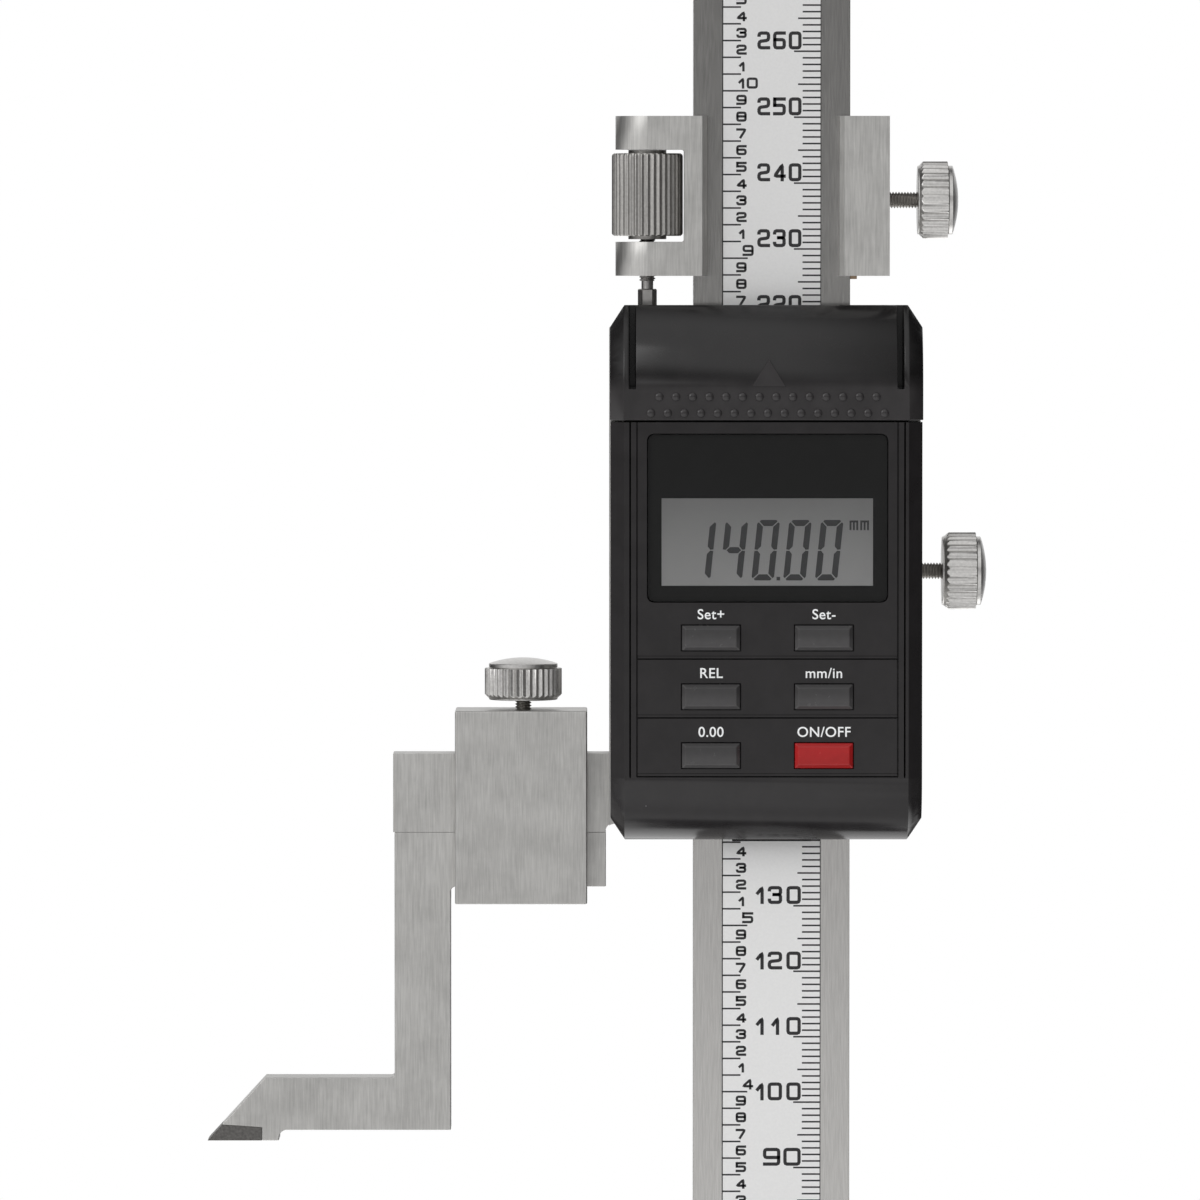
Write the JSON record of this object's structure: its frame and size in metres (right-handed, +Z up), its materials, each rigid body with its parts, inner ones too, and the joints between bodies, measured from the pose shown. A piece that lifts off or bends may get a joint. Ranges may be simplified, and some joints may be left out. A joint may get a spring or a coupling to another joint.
{
  "type": "height gauge",
  "caption": "Digital height gauge: weighted base, upright scaled beam, sliding display head with keys, fine-adjust carriage, locking screws, clamp and cranked scriber.",
  "frame": {"origin": "on the ground underside of the base, below the middle of the beam", "axes": "+Z up the beam, +X to the right seen from the display side, the display faces -Y"},
  "size_m": [0.14, 0.062, 0.474],
  "materials": {
    "cast_base": "satin enamel on cast iron, ground underside",
    "beam_steel": "ground, satin",
    "frame_steel": "fine ground, matt",
    "bright_screw": "bright plated",
    "nut_steel": "satin plated, knurled",
    "black_case": "glossy moulded",
    "window_clear": "clear with a black printed border",
    "lcd_glass": "grey reflective cell",
    "scale_print": "silver film with black figures",
    "circuit_board": "green solder mask",
    "bronze": "plain",
    "key_grey": "moulded",
    "key_red": "moulded",
    "silicone": "matt",
    "felt": "pressed felt",
    "cell_can": "nickel plated",
    "hard_tip": "ground carbide"
  },
  "bodies": {
    "base": {"base_block": "cast_base", "beam": "beam_steel", "beam_screws": "nut_steel", "beam_stop_screw": "nut_steel", "scale_board": "circuit_board", "scale_film": "scale_print"},
    "slider": {"slider_frame": "frame_steel", "slider_gib": "bronze", "slider_gib_screws": "nut_steel", "display_housing": "black_case", "housing_screws": "nut_steel", "display_window": "window_clear", "lcd_panel": "lcd_glass", "lcd_connectors": "silicone", "reader_board": "circuit_board", "key_mat": "silicone", "scale_wiper": "felt", "coin_cell": "cell_can", "battery_contacts": "nut_steel", "fine_adjust_rod": "nut_steel"},
    "cover": {"battery_cover": "black_case"},
    "slider_pad": {"slider_lock_pad": "bronze"},
    "slider_thumb": {"slider_lock_screw": "bright_screw"},
    "carriage": {"fine_adjust_carriage": "frame_steel", "carriage_gib": "bronze"},
    "nut": {"fine_adjust_nut": "nut_steel"},
    "carriage_pad": {"carriage_lock_pad": "bronze"},
    "carriage_thumb": {"carriage_lock_screw": "bright_screw"},
    "scriber_arm": {"scriber": "frame_steel", "scriber_tip": "hard_tip"},
    "clamp": {"scriber_clamp": "frame_steel"},
    "clamp_pad_body": {"clamp_pad": "bronze"},
    "clamp_thumb": {"clamp_screw": "bright_screw"},
    "preset_up_button": {"preset_up_key": "key_grey"},
    "preset_down_button": {"preset_down_key": "key_grey"},
    "absolute_button": {"absolute_key": "key_grey"},
    "unit_button": {"unit_key": "key_grey"},
    "zero_button": {"zero_key": "key_grey"},
    "power_button": {"power_key": "key_red"}
  },
  "joints": [
    {"name": "slider_travel", "type": "slide", "parent": "base", "child": "slider", "axis": [0, 0, 1], "range_m": [-0.14, 0.16]},
    {"name": "fine_adjust_travel", "type": "slide", "parent": "slider", "child": "carriage", "axis": [0, 0, 1], "range_m": [-0.001, 0.008]},
    {"name": "nut_spin", "type": "hinge", "parent": "carriage", "child": "nut", "pos_m": [-0.0189, -0.00195, 0.28405], "axis": [0, 0, 1], "range_deg": [-801, 6401]},
    {"name": "slider_lock_advance", "type": "slide", "parent": "slider", "child": "slider_pad", "axis": [1, 0, 0], "range_m": [0, 0.0009]},
    {"name": "slider_lock_turn", "type": "hinge", "parent": "slider_pad", "child": "slider_thumb", "pos_m": [0.0292, 0, 0.2268], "axis": [1, 0, 0], "range_deg": [0, 721]},
    {"name": "carriage_lock_advance", "type": "slide", "parent": "carriage", "child": "carriage_pad", "axis": [1, 0, 0], "range_m": [0, 0.0009]},
    {"name": "carriage_lock_turn", "type": "hinge", "parent": "carriage_pad", "child": "carriage_thumb", "pos_m": [0.0252, 0, 0.2833], "axis": [1, 0, 0], "range_deg": [0, 721]},
    {"name": "clamp_slide", "type": "slide", "parent": "slider", "child": "clamp", "axis": [1, 0, 0], "range_m": [-0.0001, 0.003]},
    {"name": "clamp_screw_advance", "type": "slide", "parent": "clamp", "child": "clamp_pad_body", "axis": [0, 0, 1], "range_m": [0, 0.0009]},
    {"name": "clamp_screw_turn", "type": "hinge", "parent": "clamp_pad_body", "child": "clamp_thumb", "pos_m": [-0.0378, -0.0007, 0.2103], "axis": [0, 0, 1], "range_deg": [0, 721]},
    {"name": "scriber_slide", "type": "slide", "parent": "slider", "child": "scriber_arm", "axis": [1, 0, 0], "range_m": [-0.018, 0]},
    {"name": "battery_cover_slide", "type": "slide", "parent": "slider", "child": "cover", "axis": [0, 0, 1], "range_m": [0, 0.009]},
    {"name": "preset_up_press", "type": "slide", "parent": "slider", "child": "preset_up_button", "axis": [0, 1, 0], "range_m": [0, 0.0006], "stiffness_N_per_m": 1200},
    {"name": "preset_down_press", "type": "slide", "parent": "slider", "child": "preset_down_button", "axis": [0, 1, 0], "range_m": [0, 0.0006], "stiffness_N_per_m": 1200},
    {"name": "absolute_press", "type": "slide", "parent": "slider", "child": "absolute_button", "axis": [0, 1, 0], "range_m": [0, 0.0006], "stiffness_N_per_m": 1200},
    {"name": "unit_press", "type": "slide", "parent": "slider", "child": "unit_button", "axis": [0, 1, 0], "range_m": [0, 0.0006], "stiffness_N_per_m": 1200},
    {"name": "zero_press", "type": "slide", "parent": "slider", "child": "zero_button", "axis": [0, 1, 0], "range_m": [0, 0.0006], "stiffness_N_per_m": 1200},
    {"name": "power_press", "type": "slide", "parent": "slider", "child": "power_button", "axis": [0, 1, 0], "range_m": [0, 0.0006], "stiffness_N_per_m": 1200}
  ],
  "couplings": [
    {"joint": "nut_spin", "follows": "fine_adjust_travel", "rad_per_m": 13963},
    {"joint": "slider_lock_turn", "follows": "slider_lock_advance", "rad_per_m": 13963},
    {"joint": "carriage_lock_turn", "follows": "carriage_lock_advance", "rad_per_m": 13963},
    {"joint": "clamp_screw_turn", "follows": "clamp_screw_advance", "rad_per_m": 13963}
  ]
}
